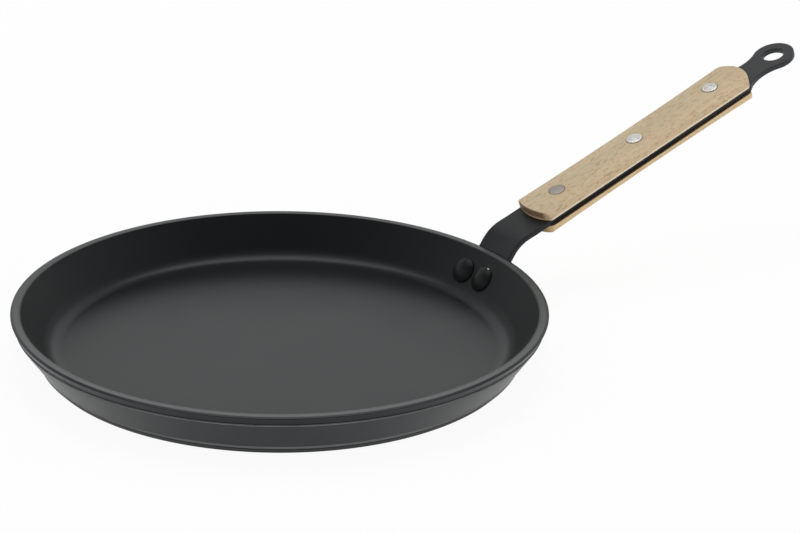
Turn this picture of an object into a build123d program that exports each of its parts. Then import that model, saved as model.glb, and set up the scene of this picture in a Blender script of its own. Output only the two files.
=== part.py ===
from build123d import *
import math
import os

# A crepe pan: a thick coated aluminium dish, and a flat steel strip riveted to its wall,
# which carries two beech scales and ends in a hanging ring.
# The origin is the centre of the underside, the handle points along +X and +Z is up.

# Dish, a disc pressed to shape and then turned at its rim and its foot
pan_r = 130.0
pan_height = 24.4
rim_width = 5.25
wall_t = 5.45
wall_lean = math.radians(35.5)
floor_t = 5.0
cove_r = 11.0
rim_edge_r = 1.0
mouth_edge_r = 0.3

# Turned band under the rim, and turned foot
band_drop = 4.7
band_cut = 0.65
foot_height = 4.2
foot_cut = 0.3
foot_chamfer = 2.8
turned_edge_r = 0.35
base_edge_r = 0.5

# Shallow rings turned into the underside
ring_count = 5
ring_inner_r = 28.0
ring_pitch = 17.0
ring_width = 1.6
ring_depth = 0.5

# Steel strip
strip_w = 23.8
strip_t = 3.0
strip_edge_r = 0.4
strip_bend_r = 20.0
handle_rise = math.radians(19.34)
bend_over_rim = 7.15
bend_runout = 1.5
blend_len = 3.5

# Flange of the strip, curved to the wall
flange_w = 34.0
flange_below_rivet = 7.2
flange_above_rivet = 4.0
flange_shoulder = 8.0
flange_corner_r = 6.5

# Neck and hanging ring
eye_from_rivet = 150.0
eye_r = 5.5
eye_ring_r = 11.0
neck_w = 15.2
neck_r = 21.0
eye_edge_r = 0.6

# Rivets of the grip, counted from the pan
rivet_names = ["front", "middle", "rear"]
rivet_from_bend = 37.2
rivet_pitch = 52.94
rivet_shank_r = 2.5
rivet_head_r = 4.0
rivet_head_edge = 0.25
rivet_head_dome = 0.25
rivet_sink = 1.2
rivet_edge_r = 0.12
bore_clearance = 0.1

# Beech scales
scale_w = 26.4
scale_crown = 5.2
scale_shoulder = 4.4
waist_crown = 4.5
waist_shoulder = 3.5
shoulder_r = 2.6
scale_front = 19.2
front_bulge = 3.3
front_corner_r = 1.0
scale_rear = 127.3
rear_bulge = 6.5
rear_corner_r = 2.5
scale_trim = 1.0

# Rivets of the pan
pan_rivet_drop = 10.2
pan_rivet_spacing = 14.8
pan_rivet_shank_r = 2.5
pan_rivet_head_r = 6.45
pan_rivet_head_edge = 0.7
pan_rivet_dome = 1.9
pan_tail_r = 4.75
pan_tail_edge = 0.4
pan_tail_dome = 1.4

# How far a cut, or a piece that is trimmed later, runs past what it has to reach
overrun = 20.0


def inner_r(z):
    """Radius of the dish's inner wall at height z."""
    return pan_r - rim_width - (pan_height - z) * math.tan(wall_lean)


def outer_r(z):
    """Radius of the dish's outer wall at height z, before the band is turned."""
    return inner_r(z) + wall_t / math.cos(wall_lean)


# Heights and radii of the dish that follow from its sizes
mouth_r = pan_r - rim_width
band_z = pan_height - band_drop
band_step = band_cut / math.cos(wall_lean)
foot_r = outer_r(foot_height) - foot_cut
base_r = foot_r - foot_chamfer

# Pan rivets: a point on each axis on the inner wall, and their turn about the pan's axis
up_wall = Vector(math.sin(wall_lean), 0, math.cos(wall_lean))
into_pan = Vector(-math.cos(wall_lean), 0, math.sin(wall_lean))
pan_rivet_z = pan_height - pan_rivet_drop
pan_rivet_r = inner_r(pan_rivet_z)
pan_rivet_turn = math.degrees(math.asin(pan_rivet_spacing / 2 / pan_rivet_r))
wall_point = Vector(pan_rivet_r, 0, pan_rivet_z)
seat_point = wall_point - into_pan * wall_t

# The strip's upper face: up the wall, round the bend and along the grip
bend_z = pan_height + bend_over_rim
bend_corner = Vector(outer_r(bend_z), 0, bend_z)
bend_turn = math.pi / 2 - wall_lean - handle_rise
bend_tangent = strip_bend_r * math.tan(bend_turn / 2)
along_grip = Vector(math.cos(handle_rise), 0, math.sin(handle_rise))
off_grip = Vector(-math.sin(handle_rise), 0, math.cos(handle_rise))
bend_end = bend_corner + along_grip * (bend_tangent + bend_runout)
strip_foot = seat_point - up_wall * (flange_below_rivet + overrun)

# The grip's own plane: origin on the front rivet's axis, X along the grip, Z off its face
grip = Plane(
    origin=bend_corner + along_grip * rivet_from_bend, x_dir=along_grip, z_dir=off_grip
)
blade_start = bend_tangent + bend_runout + blend_len - rivet_from_bend
scale_middle = (scale_rear - scale_front) / 2
rivet_places = [rivet_pitch * count for count in range(len(rivet_names))]

# Outline of the neck: one hollow arc a side, from the blade to the ring
neck_arc_y = neck_w / 2 + neck_r
neck_middle = eye_from_rivet - math.sqrt((neck_r + eye_ring_r) ** 2 - neck_arc_y**2)
neck_start = neck_middle - math.sqrt(neck_r**2 - (neck_arc_y - strip_w / 2) ** 2)
ring_share = eye_ring_r / (neck_r + eye_ring_r)
ring_tangent = (
    eye_from_rivet - (eye_from_rivet - neck_middle) * ring_share,
    neck_arc_y * ring_share,
)
ring_shoulder = (
    eye_from_rivet + eye_ring_r * math.cos(math.pi / 3),
    eye_ring_r * math.sin(math.pi / 3),
)

# Sweep and reach that hold the whole flange and bend
flange_sweep = 4 * math.degrees(math.atan(flange_w / 2 / base_r))
flange_reach = (bend_end - strip_foot).length + overrun
bend_overshoot = bend_end + along_grip * overrun


def crown_at(place):
    """Height of the scale's crown over the strip: a parabola, lowest in the middle."""
    share = (place - scale_middle) / (scale_rear + scale_trim - scale_middle)
    return waist_crown + (scale_crown - waist_crown) * share**2


def dome(rim, rise):
    """Arc of a round dome, from its rim to its top on the axis."""
    rim_r, rim_z = rim
    ball_r = (rim_r**2 + rise**2) / (2 * rise)
    half_z = rim_z + rise - ball_r + math.copysign(math.sqrt(ball_r**2 - rim_r**2 / 4), rise)
    return ThreePointArc(rim, (rim_r / 2, half_z), (0, rim_z + rise))


def corner_near(sketch, place):
    """The sketch's corner nearest to a place."""
    return sketch.vertices().sort_by_distance(place)[0]


def wall_plane(turn):
    """Plane through a pan rivet's place on the inner wall, Z off the wall into the pan."""
    origin = wall_point.rotate(Axis.Z, turn)
    return Plane(origin, x_dir=up_wall.rotate(Axis.Z, turn), z_dir=into_pan.rotate(Axis.Z, turn))


pan_rivet_planes = [wall_plane(pan_rivet_turn), wall_plane(-pan_rivet_turn)]


# Dish: one profile turned about the pan's axis, with rings in its base and two rivet holes
with BuildPart() as pan_body:
    with BuildSketch(Plane.XZ) as dish_profile:
        cove_corner = (inner_r(floor_t), floor_t)
        mouth_corner = (mouth_r, pan_height)
        rim_corner = (outer_r(pan_height) - band_step, pan_height)
        band_corner = (outer_r(band_z), band_z)
        step_corner = (outer_r(foot_height), foot_height)
        foot_corner = (foot_r, foot_chamfer)
        base_corner = (base_r, 0)
        with BuildLine():
            Polyline(
                (0, 0),
                base_corner,
                foot_corner,
                (foot_r, foot_height),
                step_corner,
                band_corner,
                (outer_r(band_z) - band_step, band_z),
                rim_corner,
                mouth_corner,
                cove_corner,
                (0, floor_t),
                close=True,
            )
        make_face()
        fillet(corner_near(dish_profile, cove_corner), cove_r)
        fillet(corner_near(dish_profile, mouth_corner), mouth_edge_r)
        fillet(corner_near(dish_profile, rim_corner), rim_edge_r)
        fillet(corner_near(dish_profile, band_corner), turned_edge_r)
        fillet(corner_near(dish_profile, step_corner), turned_edge_r / 2)
        fillet(corner_near(dish_profile, foot_corner), turned_edge_r)
        fillet(corner_near(dish_profile, base_corner), base_edge_r)
    revolve(axis=Axis.Z)
    with BuildSketch(Plane.XZ):
        for ring in range(ring_count):
            with Locations((ring_inner_r + ring * ring_pitch, 0)):
                Rectangle(ring_width, 2 * ring_depth)
    revolve(axis=Axis.Z, mode=Mode.SUBTRACT)
    with Locations(*pan_rivet_planes):
        Cylinder(pan_rivet_shank_r + bore_clearance, 2 * overrun, mode=Mode.SUBTRACT)


# Blade, made lying on the ground plane: the flat of the strip with its neck, its hanging
# ring and the holes of the grip's rivets
with BuildPart() as blade_blank:
    with BuildSketch():
        with BuildLine():
            Line((blade_start, 0), (blade_start, strip_w / 2))
            Line((blade_start, strip_w / 2), (neck_start, strip_w / 2))
            ThreePointArc((neck_start, strip_w / 2), (neck_middle, neck_w / 2), ring_tangent)
            ThreePointArc(ring_tangent, ring_shoulder, (eye_from_rivet + eye_ring_r, 0))
            mirror(about=Plane.XZ)
        make_face()
    extrude(amount=-strip_t)
    side_edges = blade_blank.edges().filter_by(Axis.X)
    fillet(side_edges + blade_blank.edges().filter_by(GeomType.CIRCLE), strip_edge_r)
    with Locations(*[(place, 0) for place in rivet_places]):
        Hole(rivet_shank_r + bore_clearance)
    with Locations((eye_from_rivet, 0)):
        Hole(eye_r)
    fillet(blade_blank.edges(Select.LAST).filter_by(GeomType.CIRCLE), eye_edge_r)


# Strip: its flange and bend are turned about the pan's axis, so that the flange lies on
# the round wall; the blade is set on the grip's plane, and a short blend joins the two
with BuildPart() as handle_strip:
    with BuildSketch(Plane.XZ.rotated((0, 0, -flange_sweep / 2))):
        with BuildLine():
            FilletPolyline(
                (strip_foot.X, strip_foot.Z),
                (bend_corner.X, bend_corner.Z),
                (bend_overshoot.X, bend_overshoot.Z),
                radius=strip_bend_r,
            )
            offset(amount=strip_t, side=Side.RIGHT)
        make_face()
    revolve(axis=Axis.Z, revolution_arc=flange_sweep)
    split(bisect_by=Plane(bend_end, z_dir=along_grip), keep=Keep.BOTTOM)
    with BuildSketch(Plane(seat_point, x_dir=up_wall, z_dir=-into_pan)) as flange_outline:
        with BuildLine():
            Polyline(
                (-flange_below_rivet, 0),
                (-flange_below_rivet, flange_w / 2),
                (flange_above_rivet, flange_w / 2),
                (flange_above_rivet + flange_shoulder, strip_w / 2),
                (flange_reach, strip_w / 2),
                (flange_reach, 0),
            )
            mirror(about=Plane.XZ)
        make_face()
        flange_corners = flange_outline.vertices().group_by(Axis.X)
        fillet(flange_corners[0] + flange_corners[1] + flange_corners[2], flange_corner_r)
    extrude(amount=flange_reach, both=True, mode=Mode.INTERSECT)
    fillet(handle_strip.edges().filter_by(GeomType.ELLIPSE), strip_edge_r)
    with Locations(grip.location):
        add(blade_blank.part)
    blend_ends = handle_strip.faces().filter_by(Plane(bend_end, z_dir=along_grip))
    loft(blend_ends.sort_by(Axis(bend_corner, along_grip)))
    with Locations(*pan_rivet_planes):
        Cylinder(pan_rivet_shank_r + bore_clearance, 2 * overrun, mode=Mode.SUBTRACT)


# Scale, made lying on the ground plane: a domed section carried along the grip and drawn in
# at the waist, then cut to its outline and bored for the rivets
with BuildPart() as scale_blank:
    for place, crown, shoulder in (
        (-scale_front - scale_trim, scale_crown, scale_shoulder),
        (scale_middle, waist_crown, waist_shoulder),
        (scale_rear + scale_trim, scale_crown, scale_shoulder),
    ):
        with BuildSketch(Plane.YZ.offset(place)) as section:
            with BuildLine():
                Line((scale_w / 2, shoulder), (scale_w / 2, 0))
                Line((scale_w / 2, 0), (-scale_w / 2, 0))
                Line((-scale_w / 2, 0), (-scale_w / 2, shoulder))
                ThreePointArc((-scale_w / 2, shoulder), (0, crown), (scale_w / 2, shoulder))
            make_face()
            fillet(section.vertices().group_by(Axis.Y)[-1], shoulder_r)
    loft()
    with BuildSketch() as scale_outline:
        front_x = front_bulge - scale_front
        rear_x = scale_rear - rear_bulge
        side_y = scale_w / 2
        with BuildLine():
            ThreePointArc((front_x, side_y), (-scale_front, 0), (front_x, -side_y))
            Line((front_x, -side_y), (rear_x, -side_y))
            ThreePointArc((rear_x, -side_y), (scale_rear, 0), (rear_x, side_y))
            Line((rear_x, side_y), (front_x, side_y))
        make_face()
        fillet(scale_outline.vertices().group_by(Axis.X)[0], front_corner_r)
        fillet(scale_outline.vertices().group_by(Axis.X)[-1], rear_corner_r)
    extrude(amount=2 * scale_crown, both=True, mode=Mode.INTERSECT)
    for place in rivet_places:
        with Locations((place, 0, crown_at(place))):
            CounterBoreHole(
                radius=rivet_shank_r + bore_clearance,
                counter_bore_radius=rivet_head_r + bore_clearance,
                counter_bore_depth=rivet_sink,
                depth=2 * scale_crown,
            )


# Upper scale: the blank set on the strip's upper face
with BuildPart() as upper_scale:
    with Locations(grip.location):
        add(scale_blank.part)


# Lower scale: the upper one's mirror image under the strip
with BuildPart() as lower_scale:
    mirror(upper_scale.part, about=grip.offset(-strip_t / 2))


pieces = {
    "pan_body": pan_body,
    "handle_strip": handle_strip,
    "upper_scale": upper_scale,
    "lower_scale": lower_scale,
}


# Rivets of the grip: a shank through strip and scales, and a low head seated at each end
for name, place in zip(rivet_names, rivet_places):
    seat = strip_t / 2 + crown_at(place) - rivet_sink
    head_rim = seat + rivet_sink + rivet_head_edge
    head_top = head_rim + rivet_head_dome
    centre = grip.from_local_coords((place, 0, -strip_t / 2))
    with BuildPart() as scale_rivet:
        with BuildSketch(Plane(centre, x_dir=along_grip, z_dir=-grip.y_dir)) as rivet_profile:
            with BuildLine():
                Polyline(
                    (0, head_top),
                    (0, 0),
                    (rivet_shank_r, 0),
                    (rivet_shank_r, seat),
                    (rivet_head_r, seat),
                    (rivet_head_r, head_rim),
                )
                dome((rivet_head_r, head_rim), rivet_head_dome)
            make_face()
            fillet(corner_near(rivet_profile, (rivet_head_r, head_rim)), rivet_edge_r)
            mirror(about=Plane.XZ)
        revolve(axis=Axis(centre, off_grip))
    pieces[f"scale_rivet_{name}"] = scale_rivet


# Rivets of the pan: a domed head on the inner wall, cut to the wall's curve, a shank
# through wall and flange, and a lower head outside
flange_z = -wall_t - strip_t
tail_rim = flange_z - pan_tail_edge
head_top = pan_rivet_head_edge + pan_rivet_dome
for name, plane in zip(("left", "right"), pan_rivet_planes):
    with BuildPart() as pan_rivet:
        with BuildSketch(Plane(plane.origin, x_dir=plane.x_dir, z_dir=-plane.y_dir)):
            with BuildLine():
                dome((pan_rivet_head_r, pan_rivet_head_edge), pan_rivet_dome)
                Line((0, head_top), (0, tail_rim - pan_tail_dome))
                dome((pan_tail_r, tail_rim), -pan_tail_dome)
                Polyline(
                    (pan_tail_r, tail_rim),
                    (pan_tail_r, flange_z),
                    (pan_rivet_shank_r, flange_z),
                    (pan_rivet_shank_r, 0),
                    (pan_rivet_head_r, 0),
                    (pan_rivet_head_r, pan_rivet_head_edge),
                )
            make_face()
        revolve(axis=Axis(plane.origin, plane.z_dir))
        add(pan_body.part, mode=Mode.SUBTRACT)
    pieces[f"pan_rivet_{name}"] = pan_rivet


os.makedirs("parts", exist_ok=True)
for name, piece in pieces.items():
    piece.part.label = name
    export_step(piece.part, f"parts/{name}.step")
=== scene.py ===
import math

import bmesh
import bpy
import numpy as np
from mathutils import Matrix


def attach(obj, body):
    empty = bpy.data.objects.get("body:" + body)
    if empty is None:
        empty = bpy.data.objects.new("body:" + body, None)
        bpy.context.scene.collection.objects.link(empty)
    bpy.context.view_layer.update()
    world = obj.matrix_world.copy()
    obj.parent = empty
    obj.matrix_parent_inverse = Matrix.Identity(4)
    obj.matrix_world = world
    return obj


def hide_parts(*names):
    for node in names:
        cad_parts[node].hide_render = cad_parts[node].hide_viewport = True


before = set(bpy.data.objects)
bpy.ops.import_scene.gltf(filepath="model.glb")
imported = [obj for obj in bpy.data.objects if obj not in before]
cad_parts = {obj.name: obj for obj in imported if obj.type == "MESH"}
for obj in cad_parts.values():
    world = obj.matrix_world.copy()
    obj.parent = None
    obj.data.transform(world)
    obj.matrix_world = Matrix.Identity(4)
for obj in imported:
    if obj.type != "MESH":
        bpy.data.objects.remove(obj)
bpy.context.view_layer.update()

MM = 0.001

# Sizes in millimetres. The part's source has the same ones, but for the rim's outer edge, the
# corners and edges at the scales' ends, and the heads of the grip's rivets: all within 1.5 mm.

lean = math.radians(35.5)
rise = math.radians(19.34)
phi = math.radians(36.85)
pan_height, mouth_r, wall_t, floor_t, cove_r = 24.4, 124.75, 5.45, 5.0, 11.0
edge_r, edge_roll, edge_drop = 129.65, 1.5, 0.45
step_z, step_t = 19.7, 0.65
foot_z, foot_in, foot_slope = 4.2, 0.3, 2.8
ring_places, ring_half_w, ring_depth, ring_round = (28.0, 45.0, 62.0, 79.0, 96.0), 0.8, 0.5, 0.12
strip_w, strip_t, strip_bend_r, strip_edge_r = 23.8, 3.0, 20.0, 0.4
flange_half_w, flange_drop, flange_corner_r = 17, 7.2, 6.5
eye_at, eye_r, eye_ring_r, eye_edge_r, neck_w, neck_r = 150.0, 5.5, 11.0, 0.6, 15.2, 21.0
rivet_places, rivet_from_bend = (0.0, 52.94, 105.88), 37.2
scale_front, scale_rear, scale_w, shoulder_r = -19.2, 127.3, 26.4, 2.6
scale_middle = (scale_front + scale_rear) / 2
waist_crown, end_crown_rise, waist_shoulder, end_shoulder_rise = 4.5, 0.7, 3.5, 0.9
front_bow, front_corner_r, rear_bow, rear_corner_r, end_round = 3.3, 2.4, 6.5, 2.5, 0.85
head_sunk, head_dome, shank_r = 1.2, 0.25, 2.5
pan_rivet_drop, pan_rivet_gap, bend_corner_z = 10.2, 14.8, 31.55
inner_head_r, inner_head_rim, inner_head_dome = 6.45, 0.7, 1.9
outer_head_r, outer_head_rim, outer_head_dome = 4.75, 0.4, 1.4


def inner_r(z):
    """Radius of the inner wall at a height: the mouth's, less the lean of the wall below it."""
    return mouth_r - (pan_height - z) * math.tan(lean)


def outer_r(z):
    """Radius of the outer wall at a height: the inner one and the wall's level thickness."""
    return inner_r(z) + wall_t / math.cos(lean)


def from_view(x, away, z):
    """Place or direction in the camera's level frame, with x to its right and y away from it,
    turned to the part's frame."""
    return np.array(
        [
            math.cos(phi) * x + math.sin(phi) * away,
            -math.sin(phi) * x + math.cos(phi) * away,
            z,
        ]
    )


up_wall = np.array([math.sin(lean), 0.0, math.cos(lean)])
into_pan = np.array([-math.cos(lean), 0.0, math.sin(lean)])
along_grip = np.array([math.cos(rise), 0.0, math.sin(rise)])
off_grip = np.array([-math.sin(rise), 0.0, math.cos(rise)])
side = np.array([0.0, 1.0, 0.0])

bend_turn = math.pi / 2 - lean - rise
bend_tangent = strip_bend_r * math.tan(bend_turn / 2)
bend_corner = np.array([outer_r(bend_corner_z), 0.0, bend_corner_z])
grip_origin = bend_corner + along_grip * rivet_from_bend
bend_to = bend_tangent - rivet_from_bend
bend_from = bend_to - strip_bend_r * bend_turn
bend_start = bend_corner - up_wall * bend_tangent
bend_centre = bend_start + into_pan * -strip_bend_r
pan_rivet_z = pan_height - pan_rivet_drop
pan_rivet_r = inner_r(pan_rivet_z)
wall_point = np.array([pan_rivet_r, 0.0, pan_rivet_z])
seat_point = wall_point - into_pan * wall_t
seat_at = bend_from - (bend_start - seat_point) @ up_wall


# Mesh work

def quads(rows, cols, close_rows=False, close_cols=False):
    """Corners of the faces of a grid, counted row by row; it may close either way."""
    i, j = np.meshgrid(
        np.arange(rows if close_rows else rows - 1),
        np.arange(cols if close_cols else cols - 1),
        indexing="ij",
    )
    i2, j2 = (i + 1) % rows, (j + 1) % cols
    return np.stack([i * cols + j, i2 * cols + j, i2 * cols + j2, i * cols + j2], -1).reshape(-1, 4)


def make_piece(name, surfaces, finish, nodes):
    """One closed piece from grids of points: seams and poles merged, faces turned outwards."""
    points, faces, count = [], [], 0
    for surface, close_rows, close_cols in surfaces:
        rows, cols = surface.shape[:2]
        faces.append(quads(rows, cols, close_rows, close_cols) + count)
        points.append(surface.reshape(-1, 3) * MM)
        count += rows * cols
    mesh = bpy.data.meshes.new(name)
    mesh.from_pydata(np.concatenate(points), [], np.concatenate(faces).tolist())
    work = bmesh.new()
    work.from_mesh(mesh)
    bmesh.ops.remove_doubles(work, verts=work.verts, dist=2e-7)
    bmesh.ops.recalc_face_normals(work, faces=work.faces)
    work.to_mesh(mesh)
    work.free()
    mesh.polygons.foreach_set("use_smooth", np.ones(len(mesh.polygons), dtype=bool))
    mesh.materials.append(finish)
    mesh.update()
    piece = bpy.data.objects.new(name, mesh)
    bpy.context.scene.collection.objects.link(piece)
    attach(piece, "root")
    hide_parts(*nodes)
    return piece


def rounded(corners, steps=6, hold=0.35):
    """Outline through corners (x, y, r): an arc of radius r between the two tangent points of
    each corner, and a held point on the straight before and after it."""
    out = []
    for k, (x, y, r) in enumerate(corners):
        here = np.array([x, y], float)
        if r == 0 or k in (0, len(corners) - 1):
            out.append(here[None])
            continue
        back = np.array(corners[k - 1][:2]) - here
        ahead = np.array(corners[k + 1][:2]) - here
        back_len, ahead_len = np.hypot(*back), np.hypot(*ahead)
        back, ahead = back / back_len, ahead / ahead_len
        half = math.acos(np.clip(back @ ahead, -1, 1)) / 2
        reach = r / math.tan(half)
        centre = here + (back + ahead) / np.hypot(*(back + ahead)) * r / math.sin(half)
        first, last = here + back * reach - centre, here + ahead * reach - centre
        start = math.atan2(first[1], first[0])
        turn = (math.atan2(last[1], last[0]) - start + math.pi) % (2 * math.pi) - math.pi
        angle = start + turn * np.linspace(0, 1, steps + 1)
        arc = centre + r * np.stack([np.cos(angle), np.sin(angle)], -1)
        before = here + back * (reach + min(hold, (back_len - reach) / 3))
        after = here + ahead * (reach + min(hold, (ahead_len - reach) / 3))
        out += [before[None], arc, after[None]]
    return np.concatenate(out)


def turned(profile, origin, axis, across, segments):
    """Profile (radius, height) turned about an axis: each point goes round in a circle whose
    centre is at its height on the axis."""
    third = np.cross(axis, across)
    angle = np.linspace(0, 2 * np.pi, segments, endpoint=False)
    ring = np.cos(angle)[:, None] * across + np.sin(angle)[:, None] * third
    return origin + profile[:, None, :1] * ring[None] + profile[:, None, 1:] * axis


def insets(outline):
    """Inward step at each point of a closed outline that runs clockwise: the mitre of the
    normals of the two runs that meet there, as long as one unit of inset needs."""
    run = np.roll(outline, -1, axis=0) - outline
    run /= np.linalg.norm(run, axis=1, keepdims=True)
    normal = np.stack([run[:, 1], -run[:, 0]], -1)
    both = normal + np.roll(normal, 1, axis=0)
    return 2 * both / (both**2).sum(1, keepdims=True)


def dome_profile(rim_r, rim_z, height, steps):
    """Round dome over a rim: a circle's arc from the top on the axis down to the rim."""
    ball = (rim_r**2 + height**2) / (2 * height)
    angle = np.linspace(0, math.asin(rim_r / ball), steps)
    return np.stack([ball * np.sin(angle), rim_z + height - ball * (1 - np.cos(angle))], -1)


# Shader work

class Wire:
    """A socket's value. Sums on it add Math nodes to the same finish."""

    def __init__(self, finish, socket):
        self.finish, self.socket = finish, socket

    def __add__(self, other):
        return self.finish.sum("ADD", self, other)

    def __sub__(self, other):
        return self.finish.sum("SUBTRACT", self, other)

    def __rsub__(self, other):
        return self.finish.sum("SUBTRACT", other, self)

    def __mul__(self, other):
        return self.finish.sum("MULTIPLY", self, other)

    def __pow__(self, other):
        return self.finish.sum("POWER", self, other)

    def __abs__(self):
        return self.finish.sum("ABSOLUTE", self)

    __radd__ = __add__
    __rmul__ = __mul__


class Finish:
    """The nodes of one material or world."""

    def __init__(self, owner):
        owner.use_nodes = True
        self.owner, self.tree = owner, owner.node_tree
        self.tree.nodes.clear()

    def node(self, kind, settings, inputs, out=0):
        """Any node: its settings first, ramp stops among them, then its values and links."""
        made = self.tree.nodes.new(kind)
        for key, value in settings.items():
            if key == "stops":
                ramp = made.color_ramp.elements
                while len(ramp) < len(value):
                    ramp.new(0.5)
                for element, (place, colour) in zip(ramp, value):
                    element.position, element.color = place, (*colour, 1)
            else:
                setattr(made, key, value)
        for key, value in inputs.items():
            if isinstance(value, Wire):
                self.tree.links.new(value.socket, made.inputs[key])
            else:
                made.inputs[key].default_value = value
        return None if out is None else Wire(self, made.outputs[out])

    def sum(self, operation, *values):
        """A Math node on one or two values."""
        return self.node("ShaderNodeMath", {"operation": operation}, dict(enumerate(values)))

    def noise(self, where, scale, detail=3.0, roughness=0.5, warp=0.0):
        """Cloudy value around a half, with spots about one over the scale in metres."""
        inputs = {"Vector": where, "Scale": scale, "Detail": detail, "Roughness": roughness}
        inputs["Distortion"] = warp
        return self.node("ShaderNodeTexNoise", {}, inputs)

    def ease(self, value, low, high):
        """Nought below the low value and one above the high one, eased between them."""
        settings = {"interpolation_type": "SMOOTHSTEP"}
        inputs = {"Value": value, "From Min": low, "From Max": high}
        return self.node("ShaderNodeMapRange", settings, inputs)

    def blend(self, share, first, second):
        """Colour between two others."""
        settings = {"data_type": "RGBA"}
        return self.node("ShaderNodeMix", settings, {0: share, 6: first, 7: second}, out=2)

    def place(self, location=(0, 0, 0), rotation=(0, 0, 0), scale=(1, 1, 1)):
        """Object coordinates, seen from a frame of the part."""
        where = self.node("ShaderNodeTexCoord", {}, {}, out="Object")
        inputs = {"Vector": where, "Location": location, "Rotation": rotation, "Scale": scale}
        return self.node("ShaderNodeMapping", {"vector_type": "TEXTURE"}, inputs)

    def parts(self, vector):
        """The three numbers of a vector."""
        split = self.node("ShaderNodeSeparateXYZ", {}, {"Vector": vector}).socket.node
        return [Wire(self, socket) for socket in split.outputs]

    def along(self, vector, axis):
        """How far a vector reaches along an axis of unit length."""
        inputs = {0: vector, 1: tuple(axis)}
        return self.node("ShaderNodeVectorMath", {"operation": "DOT_PRODUCT"}, inputs, "Value")

    def bump(self, height, distance, strength=1.0, under=None):
        inputs = {"Height": height, "Distance": distance, "Strength": strength}
        if under is not None:
            inputs["Normal"] = under
        return self.node("ShaderNodeBump", {}, inputs)

    def surface(self, **inputs):
        """Principled surface from sockets named with underscores, wired to the output."""
        named = {key.replace("_", " "): value for key, value in inputs.items()}
        shader = self.node("ShaderNodeBsdfPrincipled", {}, named)
        self.node("ShaderNodeOutputMaterial", {"target": "ALL"}, {"Surface": shader}, out=None)
        return self.owner


def new_finish(name):
    """A new material, ready for its nodes."""
    return Finish(bpy.data.materials.new(name))


def from_rivet(f, along, across):
    """Distance on the grip from the nearest rivet's axis: places along it fold to and fro
    between neighbouring rivets, which are evenly spaced."""
    half_pitch = (rivet_places[1] - rivet_places[0]) / 2 * MM
    return (f.sum("PINGPONG", along, half_pitch) ** 2 + across * across) ** 0.5


# Dish

def dish_profile():
    """Half section of the dish from the middle of its underside, round the foot, wall and rim,
    to the middle of its floor, with the rings of the underside as shallow notches."""
    foot_r, step_r = outer_r(foot_z) - foot_in, outer_r(step_z)
    corners = [(0, 0, 0)]
    for ring_r in ring_places:
        near, far = ring_r - ring_half_w, ring_r + ring_half_w
        corners += [(r, z, ring_round) for r, z in ((near, 0), (near, ring_depth))]
        corners += [(r, z, ring_round) for r, z in ((far, ring_depth), (far, 0))]
    corners += [(foot_r - foot_slope, 0, 0.5), (foot_r, foot_slope, 0.35), (foot_r, foot_z, 0.1)]
    corners += [(outer_r(foot_z), foot_z, 0.17), (step_r, step_z, 0.35)]
    corners += [(step_r - step_t / math.cos(lean), step_z, 0.2)]
    corners += [(edge_r, pan_height - edge_drop, 0.2), (edge_r - edge_roll, pan_height, 0.3)]
    corners += [(mouth_r, pan_height, 0.3), (inner_r(floor_t), floor_t, cove_r)]
    corners += [(mouth_r / 2, floor_t, 0), (0, floor_t, 0)]
    return rounded(corners)


# Strip

def path(along):
    """Point and outward normal of the strip's upper face at a place along the grip: straight up
    the wall, round the bend's circle, then straight on."""
    turn = np.clip((along - bend_from) / strip_bend_r, 0, bend_turn)[:, None]
    down = np.minimum(along - bend_from, 0)[:, None]
    on = np.maximum(along - bend_to, 0)[:, None]
    normal = np.cos(turn) * into_pan + np.sin(turn) * up_wall
    point = bend_centre + strip_bend_r * normal + down * up_wall + on * along_grip
    return point, normal


def on_strip(places, depth):
    """Points of the flat strip, given along it and to its side, set below its upper face. The
    flange and bend go round the pan's axis: their points keep their radius and their sideways
    place. The blade is flat, and the two are eased into each other."""
    along, out = places[..., 0].ravel(), places[..., 1].ravel()
    point, normal = path(along)
    flat = point - normal * np.broadcast_to(depth, places.shape[:-1]).reshape(-1, 1)
    round_x = np.sqrt(np.maximum(flat[:, 0] ** 2 - out**2, 0))
    share = np.clip((along - bend_to - 1.5) / 3.5, 0, 1)
    x = round_x + (flat[:, 0] - round_x) * share
    return np.stack([x, out, flat[:, 2]], -1).reshape(*places.shape[:-1], 3)


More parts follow.
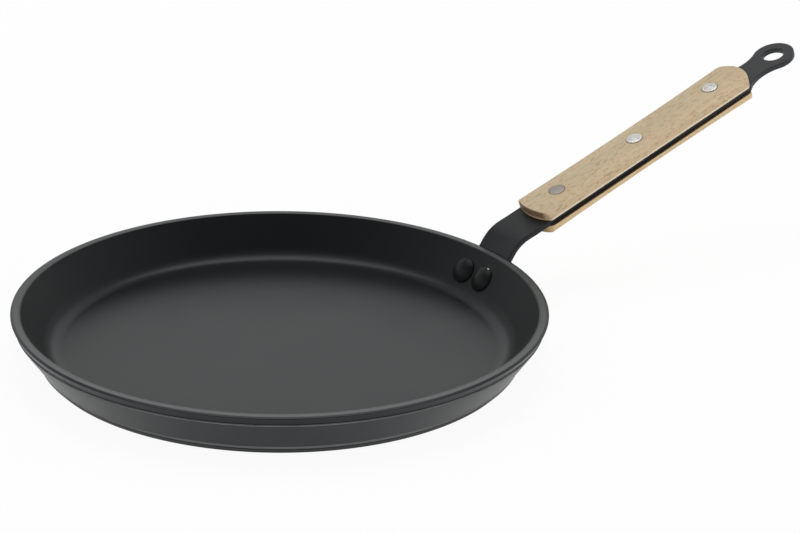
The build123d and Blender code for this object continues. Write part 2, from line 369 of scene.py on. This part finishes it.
def strip_outline(columns):
    """Closed outline of the flat strip, clockwise from one corner of its foot: the foot's edge,
    one side with its shoulder and hollow neck, the ring's circle, and back. Also the place in
    it where the neck is narrowest."""
    foot, half = seat_at - flange_drop, strip_w / 2
    corners = [(foot, 0, 0), (foot, flange_half_w, flange_corner_r)]
    corners += [(seat_at + 4, flange_half_w, flange_corner_r)]
    corners += [(seat_at + 12, half, flange_corner_r), (bend_from - 1, half, 0)]
    flange = rounded(corners, steps=10, hold=0.2)[2:]
    arc_y = neck_w / 2 + neck_r
    waist = eye_at - math.sqrt((neck_r + eye_ring_r) ** 2 - arc_y**2)
    start = waist - math.sqrt(neck_r**2 - (arc_y - half) ** 2)
    straight = np.append(bend_from + np.arange(0, 18, 0.6), np.arange(bend_to + 8, start - 1, 8))
    straight = np.append(straight, start - 0.3)
    blade = np.stack([straight, np.full_like(straight, half)], -1)
    meet = math.atan2(arc_y, eye_at - waist)
    hollow = np.linspace(-math.pi / 2 - math.acos((arc_y - half) / neck_r), -meet, 23)
    waist_step = np.searchsorted(hollow, -math.pi / 2)
    hollow[waist_step] = -math.pi / 2
    neck = np.stack([waist + neck_r * np.cos(hollow), arc_y + neck_r * np.sin(hollow)], -1)
    circle = np.linspace(math.pi - meet, 0, 37)[1:]
    ring = np.stack([eye_at + eye_ring_r * np.cos(circle), eye_ring_r * np.sin(circle)], -1)
    right = np.concatenate([flange[1:], blade, neck, ring])
    edge = np.stack([np.full(columns, foot), np.linspace(-1, 1, columns) * flange[0, 1]], -1)
    narrowest = columns + len(flange) - 1 + len(blade) + waist_step
    return np.concatenate([edge, right, right[-2::-1] * (1, -1)]), narrowest


def plate_edge(radius, hold=0.4):
    """Inset and depth round the edge of the strip: two quarter circles and the wall between."""
    turn = np.linspace(0, math.pi / 2, 5)
    inset = np.concatenate([[radius + hold], radius * (1 - np.sin(turn))])
    depth = np.concatenate([[0], radius * (1 - np.cos(turn))])
    return np.concatenate([inset, inset[::-1]]), np.concatenate([depth, strip_t - depth[::-1]])


def strip_surfaces():
    """The strip as grids: its rounded edge all round, rows across its two faces, a fan from the
    neck round the eye, and the eye's own rounded wall."""
    columns = 15
    outline, narrowest = strip_outline(columns)
    count = len(outline)
    inset, depth = plate_edge(strip_edge_r)
    loops = outline[:, None] + insets(outline)[:, None] * inset[:, None]
    grids = [(on_strip(loops, depth), True, False)]
    right = np.arange(columns - 1, narrowest + 1)
    left = (columns - 1 - right) % count
    eye_inset, eye_depth = plate_edge(eye_edge_r)
    for level in (0, -1):
        loop = loops[:, level]
        share = np.linspace(0, 1, columns)[:, None]
        rows = loop[left][:, None] * (1 - share) + loop[right][:, None] * share
        rows[0] = loop[:columns]
        grids.append((on_strip(rows, depth[level]), False, False))
        far = np.concatenate([loop[narrowest : left[-1] + 1], rows[-1][1:-1]])
        bearing = np.arctan2(far[:, 1], far[:, 0] - eye_at)
        around = np.stack([np.cos(bearing), np.sin(bearing)], -1)
        near = around * (eye_r + eye_inset[level]) + (eye_at, 0)
        grids.append((on_strip(np.stack([far, near], 1), depth[level]), True, False))
    wall = around[:, None] * (eye_r + eye_inset)[:, None] + (eye_at, 0)
    grids.append((on_strip(wall, eye_depth), True, False))
    return grids


# Scales

half_w = scale_w / 2


def end_share(along):
    """Square of how far a place lies from the scale's middle, nearly 1 at its tips."""
    return ((along - scale_middle) / (scale_rear + 1 - scale_middle)) ** 2


def crown_over(along):
    """Height of a scale's crown over the strip: a parabola, lowest in the middle."""
    return waist_crown + end_crown_rise * end_share(along)


def scale_top(places):
    """Height of a scale: a round crown across it, and a quarter circle down at each side."""
    along, out = places[..., 0], places[..., 1]
    crown = crown_over(along)
    shoulder = waist_shoulder + end_shoulder_rise * end_share(along)
    inside = np.clip(half_w - np.abs(out), 0, shoulder_r)
    drop = shoulder_r - np.sqrt(shoulder_r**2 - (shoulder_r - inside) ** 2)
    return crown - (crown - shoulder) * (out / half_w) ** 2 - drop


def scale_end(tip, bow, corner, way):
    """End of a scale from its left side to its right: an arc through its tip whose middle lies
    back along the scale, and a smaller arc at each corner that touches it and the side. Also
    how far each point is past the corner's arc, from 0 at the side to 1."""
    arc_r = (half_w**2 + bow**2) / (2 * bow)
    middle = tip - way * arc_r
    corner_out = half_w - corner
    corner_at = math.sqrt((arc_r - corner) ** 2 - corner_out**2)
    turn = np.linspace(math.pi / 2, math.atan2(corner_out, corner_at), 7)
    x = [middle + way * (corner_at + corner * np.cos(turn))]
    y = [corner_out + corner * np.sin(turn)]
    shares = np.array([0.976, 0.948, 0.917, 0.881, 0.84, 0.78, 0.68, 0.56, 0.43, 0.29, 0.14, 0])
    y.append(y[0][-1] * shares)
    x.append(middle + way * np.sqrt(arc_r**2 - y[1] ** 2))
    half = np.stack([np.concatenate(x), np.concatenate(y)], -1)
    past = np.append(np.linspace(0, 1, 7), np.ones(12))
    end = np.concatenate([half[:-1] * (1, -1), half[::-1]])
    return end, np.append(past[:-1], past[::-1])


def scale_surfaces(under):
    """A scale as grids: the rim round its outline, a little rounded at its foot and at its two
    ends, and rows across its two faces. The lower scale is the upper one's mirror image."""
    front, front_past = scale_end(scale_front, front_bow, front_corner_r, -1)
    rear, rear_past = scale_end(scale_rear, rear_bow, rear_corner_r, 1)
    columns = len(front)
    between = np.linspace(front[-1, 0] + 1.2, rear[-1, 0] - 1.2, 64)
    right = np.stack([between, np.full_like(between, half_w)], -1)
    outline = np.concatenate([front, right, rear[::-1], right[::-1] * (1, -1)])
    nought = np.zeros(len(between))
    ease = end_round * np.concatenate([front_past, nought, rear_past[::-1], nought])[:, None]
    count = len(outline)
    turn = np.linspace(0, math.pi / 2, 7)
    foot = np.array([[0.5, 0.25, 0.07, 0, 0], [0, 0, 0.07, 0.25, 0.6]])
    inset = np.concatenate(
        [np.repeat(foot[:1], count, 0), ease * (1 - np.cos(turn)), ease * 1.5], axis=1
    )
    loops = outline[:, None] + insets(outline)[:, None] * inset[..., None]
    upper = scale_top(loops[:, 5:])
    upper[:, :-1] -= ease * (1 - np.sin(turn))
    lift = np.concatenate([np.repeat(foot[1:], count, 0), upper], axis=1)

    def set_out(places, height):
        """Along the grip and to its side, and a height off the strip's upper or lower face."""
        height = -strip_t - height if under else height
        out = places[..., :1] * along_grip + places[..., 1:] * side
        return grip_origin + out + height[..., None] * off_grip

    grids = [(set_out(loops, lift), True, False)]
    across = np.arange(columns - 1, columns + len(between) + 1)
    mirrored = (columns - 1 - across) % count
    for level, top in ((0, False), (-1, True)):
        loop = loops[:, level]
        share = ((front[:, 1] / half_w + 1) / 2)[:, None]
        rows = loop[mirrored][:, None] * (1 - share) + loop[across][:, None] * share
        rows[0] = loop[:columns]
        rows[-1] = loop[columns + len(between) : 2 * columns + len(between)][::-1]
        height = scale_top(rows) if top else np.zeros(rows.shape[:2])
        grids.append((set_out(rows, height), False, False))
    return grids


# Rivets

def scale_rivet_profile(crown, head_r, proud):
    """Half section of a rivet of the grip, from one head's top to the other's: a low dome, its
    rim, its seat and the shank, the same above and below the strip's middle."""
    seat = strip_t / 2 + crown - head_sunk
    rim = seat + head_sunk + proud
    dome = dome_profile(head_r, rim, head_dome, 9)
    half = [(r, z, 0) for r, z in dome[:-1]]
    half += [(head_r, rim, 0.12), (head_r, seat, 0.1), (shank_r, seat, 0)]
    half = rounded(half, steps=4, hold=0.1)
    return np.concatenate([half, half[::-1] * (1, -1)])


def pan_rivet_profile():
    """Half section of a rivet of the pan along its axis: the domed head, whose rim is bedded in
    the round wall, the shank through wall and flange, and the lower head outside."""
    head = dome_profile(inner_head_r, inner_head_rim, inner_head_dome, 17)
    tail = dome_profile(outer_head_r, outer_head_rim, outer_head_dome, 13)
    bed, back = -0.6, -wall_t - strip_t
    corners = [(r, z, 0) for r, z in head[:-1]]
    corners += [(inner_head_r, inner_head_rim, 0.3), (inner_head_r, bed, 0)]
    corners += [(shank_r, bed, 0), (shank_r, back, 0), (outer_head_r, back, 0)]
    corners += [(outer_head_r, back - outer_head_rim, 0.2)]
    corners += [(r, back - z, 0) for r, z in tail[-2::-1]]
    return rounded(corners, steps=5, hold=0.15)


# Finishes

def coat_finish():
    """Sprayed non-stick coat on the dish: near black and satin, with a fine speckle, slow cloudy
    patches, the marks of the turning tool outside the bowl, and a rougher wall inside it that is
    also painted darker as shade. Painted highlights make a greyer line along the step, the foot and
    the rim, and the rim's line is palest on the side towards the camera."""
    f = new_finish("pan_coat")
    where = f.place()
    x, y, z = f.parts(where)
    radius = (x * x + y * y) ** 0.5
    speckle = f.noise(where, 1500, 2)
    grain = f.noise(where, 4200, 2)
    cloud = f.noise(where, 22, 3)
    streak = f.noise(f.place(scale=(1, 1, 6)), 90, 2)
    cone = radius - z * math.tan(lean)
    bowl = f.ease(z, (floor_t - 0.5) * MM, (floor_t - 0.2) * MM)
    bowl = bowl * (1 - f.ease(cone, 0.1078, 0.1084))
    thread = f.sum("SINE", (radius + z * 0.6) * (2 * math.pi / 0.00042)) * (1 - bowl)
    tone = 0.5 + (cloud - 0.5) * 0.5 + (speckle - 0.5) * 0.7 + (streak - 0.5) * 0.3
    colour = f.blend(tone, (0.0022, 0.0035, 0.0047, 1), (0.0050, 0.0069, 0.0090, 1))
    # Painted shade: the coat on the wall inside the bowl is coloured darker than on the floor; the
    # same mask also makes it rougher.
    wall = bowl * f.ease(z, (floor_t + 0.5) * MM, (floor_t + 2.5) * MM)
    colour = f.blend(wall * 0.6, colour, (0.0012, 0.0016, 0.0019, 1))
    bright = f.ease(speckle, 0.66, 0.74) * (1 - wall * 0.5)
    colour = f.blend(bright * 0.3, colour, (0.045, 0.047, 0.049, 1))
    # Painted highlight: a greyer, streaky line along the step and the foot outside the bowl.
    step = 1 - f.ease(abs(z - (step_z - 0.1) * MM), 0.0002, 0.0004)
    foot = 1 - f.ease(abs(z - (foot_z - 0.3) * MM), 0.0005, 0.0008)
    outside = f.ease(cone, 0.1095, 0.1100)
    low = outside * (1 - f.ease(z, 0.0022, 0.0032))
    edge = outside * (step + foot * 0.8)
    colour = f.blend(edge * (0.75 + (streak - 0.5) * 0.5), colour, (0.19, 0.19, 0.188, 1))
    # Painted highlight: a greyer line on the rim's flat, palest on the side towards the camera.
    rim = f.ease(z, (pan_height - 0.06) * MM, pan_height * MM)
    front = f.ease(f.along(where, from_view(0, -1, 0)), -0.04, 0.11)
    colour = f.blend(rim * (0.28 + front * 0.62), colour, (0.085, 0.086, 0.088, 1))
    under = f.bump(grain, 0.00001, 0.6)
    under = f.bump(speckle, 0.00002, 0.5, under)
    under = f.bump(thread, 0.000004, 0.5, under)
    rough = 0.30 + (cloud - 0.5) * 0.08 + (speckle - 0.5) * 0.08 + wall * 0.22 + low * 0.3
    return f.surface(Base_Color=colour, Roughness=rough, Specular_IOR_Level=0.24, Normal=under)


def strip_finish():
    """Baked black coat on the steel strip: even and satin, with a fine orange peel and small worn
    spots, and a painted highlight that makes it a little paler towards the ring."""
    f = new_finish("strip_coat")
    where = f.place()
    peel = f.noise(where, 1100, 2)
    cloud = f.noise(where, 45, 3)
    worn = f.ease(f.noise(where, 260, 4, 0.65), 0.62, 0.78)
    tone = 0.5 + (cloud - 0.5) * 0.8 + (peel - 0.5) * 0.3
    colour = f.blend(tone, (0.0050, 0.0056, 0.0068, 1), (0.0095, 0.0102, 0.0120, 1))
    colour = f.blend(worn * 0.2, colour, (0.03, 0.031, 0.033, 1))
    # Painted highlight: the coat is made paler towards the ring.
    painted_highlight_to_ring = f.ease(f.parts(where)[0], 0.20, 0.31)
    colour = f.blend(painted_highlight_to_ring * 0.75, colour, (0.033, 0.034, 0.036, 1))
    rough = 0.42 + (cloud - 0.5) * 0.14 + worn * 0.08
    under = f.bump(peel, 0.000018, 0.6)
    return f.surface(Base_Color=colour, Roughness=rough, Specular_IOR_Level=0.26, Normal=under)


def rivet_coat_finish():
    """Black coat sprayed over the domed heads of the pan's rivets, with a painted glint: one small
    pale grey spot at the top of the right one's rim."""
    f = new_finish("rivet_coat")
    where = f.place()
    speckle = f.noise(where, 1700, 2)
    cloud = f.noise(where, 160, 3)
    tone = 0.5 + (cloud - 0.5) * 0.7 + (speckle - 0.5) * 0.5
    colour = f.blend(tone, (0.0040, 0.0044, 0.0048, 1), (0.0080, 0.0085, 0.0090, 1))
    # Painted glint: a small pale grey spot on the top of the right head's rim.
    glint_spot = wall_point - side * (pan_rivet_gap / 2 + 1.4) + up_wall * 6.3 + into_pan * 0.6
    inputs = {0: where, 1: tuple(glint_spot * MM)}
    from_glint_spot = f.node("ShaderNodeVectorMath", {"operation": "DISTANCE"}, inputs, "Value")
    painted_glint = 1 - f.ease(from_glint_spot + (speckle - 0.5) * 0.001, 0.0007, 0.0011)
    colour = f.blend(painted_glint, colour, (0.55, 0.55, 0.55, 1))
    rough = 0.36 + (cloud - 0.5) * 0.16
    under = f.bump(speckle, 0.000015, 0.5)
    return f.surface(Base_Color=colour, Roughness=rough, Specular_IOR_Level=0.14, Normal=under)


def beech_finish():
    """Oiled beech, its grain along the grip: soft pink and straw bands, fine brown flecks that run
    with the grain, pores, a darker end grain, and a dark ring round the rivets, partly their joint
    and partly painted shade. Painted shade also darkens the beds of the scales by the strip, a
    painted highlight makes a pale lower edge on the upper scale, and the lower scale is painted
    warmer, standing in for the sheen of light on the upper one's top."""
    f = new_finish("beech")
    turn = (0, -rise, 0)
    spot = tuple(grip_origin * MM)
    where = f.place(spot, turn)
    along, across, up = f.parts(where)
    bands = f.noise(f.place(spot, turn, (9, 1, 1)), 95, 4, 0.55)
    fine = f.noise(f.place(spot, turn, (14, 1, 1)), 620, 3, 0.6, 0.5)
    hue = f.noise(f.place(spot, turn, (6, 1, 1)), 48, 2)
    fleck = f.noise(f.place(spot, turn, (4.2, 1, 1.4)), 1350, 1, 0.3, 0.9)
    pore = f.noise(f.place(spot, turn, (12, 1, 1)), 2400, 1)
    straw = f.blend(bands, (0.40, 0.333, 0.205, 1), (0.61, 0.520, 0.350, 1))
    pink = f.blend(bands, (0.42, 0.318, 0.195, 1), (0.62, 0.495, 0.330, 1))
    colour = f.blend(f.ease(hue, 0.38, 0.62), straw, pink)
    colour = f.blend((fine - 0.5) * 1.5 + 0.25, colour, (0.45, 0.320, 0.195, 1))
    flecks = f.ease(fleck, 0.54, 0.68)
    colour = f.blend(flecks * 0.6, colour, (0.31, 0.20, 0.10, 1))
    colour = f.blend(f.ease(pore, 0.68, 0.8) * 0.35, colour, (0.28, 0.18, 0.10, 1))
    facing = f.node("ShaderNodeTexCoord", {}, {}, out="Normal")
    end = f.ease(abs(f.along(facing, along_grip)), 0.6, 0.85)
    mottle = f.noise(where, 900, 3, 0.6)
    off_middle = abs(up + strip_t / 2 * MM)
    core = f.ease(off_middle, 0.0020, 0.0034) * (1 - f.ease(abs(across), 0.0088, 0.0112))
    grain_end = f.blend((mottle - 0.5) * 1.8 + 0.5, (0.07, 0.035, 0.018, 1), (0.27, 0.17, 0.10, 1))
    colour = f.blend(end * (0.2 + core * 0.8), colour, grain_end)
    # Dark ring round each rivet: the joint's own dark line, deepened by painted shade.
    joint_and_shade = 1 - f.ease(from_rivet(f, along, across), 0.0042, 0.0047)
    colour = f.blend(joint_and_shade * 0.7, colour, (0.06, 0.035, 0.018, 1))
    upper = f.ease(up, -0.0010, -0.0004)
    # Painted highlight: a pale line along the lower edge of the upper scale's sides.
    painted_lip_highlight = f.ease(abs(across), 0.0128, 0.0131) * (1 - f.ease(off_middle, 0.0020, 0.0032))
    colour = f.blend(painted_lip_highlight * upper * 0.6, colour, (0.84, 0.75, 0.58, 1))
    # Painted light: the lower scale is made warmer, standing in for the sheen on the upper scale's
    # top.
    colour = f.blend((1 - upper) * 0.35, colour, (0.78, 0.55, 0.27, 1))
    # Painted shade: the scales' faces next to the strip, and the ledge beside it, are made dark.
    bed = 1 - f.ease(off_middle, (strip_t / 2 + 0.06) * MM, (strip_t / 2 + 0.3) * MM)
    colour = f.blend(bed * 0.92, colour, (0.045, 0.028, 0.014, 1))
    rough = 0.55 + (fine - 0.5) * 0.2 - flecks * 0.05
    under = f.bump(fine, 0.00003, 0.5)
    under = f.bump(flecks, 0.00003, 0.3, under)
    return f.surface(Base_Color=colour, Roughness=rough, Specular_IOR_Level=0.3, Normal=under)


def rivet_finish():
    """Bare aluminium heads, flattened by the press: cloudy, with fine scratches across them and
    the press tool's ring. The front one is tarnished and has no ring."""
    f = new_finish("rivet_aluminium")
    spot, turn = tuple(grip_origin * MM), (0, -rise, 0)
    cloud = f.noise(f.place(spot, turn), 420, 4, 0.6)
    scratch = f.noise(f.place(spot, (0, -rise, 0.6), (14, 1, 1)), 3200, 2)
    along, across, _ = f.parts(f.place(spot, turn))
    tarnish = 1 - f.ease(along, 0.02, 0.03)
    pressed = 1 - f.ease(abs(from_rivet(f, along, across) - 0.0027), 0.0001, 0.0004)
    pressed = pressed * (1 - tarnish)
    colour = f.blend(0.5 + (cloud - 0.5) * 1.6, (0.50, 0.49, 0.47, 1), (0.84, 0.83, 0.81, 1))
    colour = f.blend(tarnish * 0.9, colour, (0.29, 0.262, 0.23, 1))
    colour = f.blend(pressed * 0.35, colour, (0.36, 0.36, 0.36, 1))
    rough = 0.38 + (cloud - 0.5) * 0.3 + tarnish * 0.08
    under = f.bump(scratch, 0.000012, 0.4)
    under = f.bump(pressed, -0.00003, 0.6, under)
    under = f.bump(cloud, 0.00004, 0.4, under)
    return f.surface(Base_Color=colour, Roughness=rough, Metallic=0.9, Normal=under)


coat, strip_coat, beech = coat_finish(), strip_finish(), beech_finish()
aluminium, rivet_coat = rivet_finish(), rivet_coat_finish()


# Pieces

upright, ahead, origin = np.array([0, 0, 1.0]), np.array([1.0, 0, 0]), np.zeros(3)
dish = turned(dish_profile(), origin, upright, ahead, 320)
make_piece("dish", [(dish, False, True)], coat, ["pan_body"])
make_piece("strip", strip_surfaces(), strip_coat, ["handle_strip"])
make_piece("scale_over", scale_surfaces(under=False), beech, ["upper_scale"])
make_piece("scale_under", scale_surfaces(under=True), beech, ["lower_scale"])

heads = {"front": (3.9, 0.08), "middle": (4.1, 0.4), "rear": (4.0, 0.3)}
for (name, (head_r, proud)), place in zip(heads.items(), rivet_places):
    centre = grip_origin + along_grip * place - off_grip * strip_t / 2
    profile = scale_rivet_profile(crown_over(place), head_r, proud)
    shape = turned(profile, centre, off_grip, side, 48)
    make_piece(f"grip_rivet_{name}", [(shape, False, True)], aluminium, [f"scale_rivet_{name}"])

for name, way in (("left", 1), ("right", -1)):
    turn = way * math.asin(pan_rivet_gap / 2 / pan_rivet_r)
    spin = np.array(
        [[math.cos(turn), -math.sin(turn), 0], [math.sin(turn), math.cos(turn), 0], [0, 0, 1]]
    )
    shape = turned(pan_rivet_profile(), spin @ wall_point, spin @ into_pan, spin @ side, 64)
    make_piece(f"wall_rivet_{name}", [(shape, False, True)], rivet_coat, [f"pan_rivet_{name}"])


# Floor, light and camera

def rays_that_see(finish):
    """Shares of the camera's rays, and of those of gloss and glass."""
    rays = finish.node("ShaderNodeLightPath", {}, {}).socket.node
    camera, glossy, glass = (
        Wire(finish, rays.outputs[name])
        for name in ("Is Camera Ray", "Is Glossy Ray", "Is Transmission Ray")
    )
    return camera, finish.sum("MINIMUM", glossy + glass, 1.0)


def light_world():
    """White behind the object, a soft even light on it, and in its gloss a white band over the
    horizon at the back and sides, with a dim ceiling over it and a dim front."""
    f = Finish(bpy.data.worlds.new("studio"))
    camera, gloss = rays_that_see(f)
    soft, white, dim = (
        f.node("ShaderNodeBackground", {}, {"Color": (1, 1, 1, 1), "Strength": strength})
        for strength in (0.55, 1.0, 0.12)
    )
    sight = f.node("ShaderNodeTexCoord", {}, {}, out="Generated")
    nearness = f.along(sight, from_view(0, -1, 0))
    height = f.parts(sight)[2]
    band = f.ease(height, 0.04, 0.2) * (1 - f.ease(height, 0.47, 0.77))
    shade = 1 - band * (1 - f.ease(nearness, 0.3, 0.8) * 0.8)
    ceiling = f.node("ShaderNodeMixShader", {}, {0: shade, 1: white, 2: dim})
    light = f.node("ShaderNodeMixShader", {}, {0: gloss, 1: soft, 2: ceiling})
    mix = f.node("ShaderNodeMixShader", {}, {0: camera, 1: light, 2: white})
    f.node("ShaderNodeOutputWorld", {}, {"Surface": mix}, out=None)
    bpy.context.scene.world = f.owner


def floor_finish():
    """Pale paper that the camera sees nearly white, and that keeps the object's shadow."""
    f = new_finish("floor_paper")
    camera, gloss = rays_that_see(f)
    paper = f.node("ShaderNodeBsdfDiffuse", {}, {"Color": (0.86, 0.86, 0.86, 1)})
    glow = f.node("ShaderNodeEmission", {}, {"Color": (1, 1, 1, 1), "Strength": 1.0})
    mix = f.node("ShaderNodeMixShader", {}, {0: camera * 0.93 + gloss * 0.7, 1: paper, 2: glow})
    f.node("ShaderNodeOutputMaterial", {}, {"Surface": mix}, out=None)
    return f.owner


def add_floor():
    """Level disc far wider than the view, under the dish."""
    angle = np.linspace(0, 2 * np.pi, 96, endpoint=False)
    ring = np.stack([6 * np.cos(angle), 6 * np.sin(angle), np.full(96, -0.0002)], -1)
    mesh = bpy.data.meshes.new("floor")
    mesh.from_pydata(ring, [], [list(range(96))])
    mesh.materials.append(floor_finish())
    floor = bpy.data.objects.new("floor", mesh)
    bpy.context.scene.collection.objects.link(floor)


def aim(thing, eye, back, up_guess):
    """Sets a camera or lamp at a place, looking against the given direction."""
    right = np.cross(up_guess, back)
    right /= np.linalg.norm(right)
    turned_up = np.cross(back, right)
    matrix = np.eye(4)
    matrix[:3, 0], matrix[:3, 1], matrix[:3, 2], matrix[:3, 3] = right, turned_up, back, eye
    thing.matrix_world = Matrix(matrix.tolist())


def add_camera():
    """Camera at the photograph's place: 22 degrees above level, and rolled by 0.9 degrees."""
    tilt, roll = math.radians(22.006), math.radians(0.892)
    back = from_view(0, -math.cos(tilt), math.sin(tilt))
    right, over = from_view(1, 0, 0), from_view(0, math.sin(tilt), math.cos(tilt))
    camera = bpy.data.cameras.new("camera")
    camera.sensor_width, camera.lens = 36, 3630.75 / 800 * 36
    camera.clip_start, camera.clip_end = 0.05, 50
    thing = bpy.data.objects.new("camera", camera)
    bpy.context.scene.collection.objects.link(thing)
    eye = from_view(57.39, -1614.83, 674.71) + (0, 0, pan_height)
    aim(thing, eye * MM, back, math.cos(roll) * over - math.sin(roll) * right)
    bpy.context.scene.camera = thing


def add_lamp(name, place, target, size, watts, in_gloss=True):
    """Soft rectangular lamp at a place in the camera's frame, in metres, facing a target. One
    that isn't in the gloss lights the pieces, but shows in no reflection."""
    lamp = bpy.data.lights.new(name, "AREA")
    lamp.shape, lamp.size, lamp.size_y = "RECTANGLE", *size
    lamp.energy = watts
    thing = bpy.data.objects.new(name, lamp)
    thing.visible_glossy = in_gloss
    bpy.context.scene.collection.objects.link(thing)
    eye, at = from_view(*place), from_view(*target)
    back = (eye - at) / np.linalg.norm(eye - at)
    aim(thing, eye, back, np.array([0.01, 0.02, 1.0]))


light_world()
add_floor()
add_camera()
add_lamp("top", (-0.1, 0.7, 2.1), (0.05, 0, 0), (2.0, 1.4), 22)
add_lamp("left", (-1.9, 0.5, 0.5), (0, 0, 0), (1.0, 0.8), 4, in_gloss=False)
add_lamp("right", (2.0, 0.4, 0.5), (0.1, 0, 0), (1.0, 0.8), 4, in_gloss=False)
add_lamp("front", (0.3, -2.0, 0.35), (0.05, 0, 0.05), (1.8, 0.6), 18, in_gloss=False)
bpy.context.scene.view_settings.view_transform = "Standard"
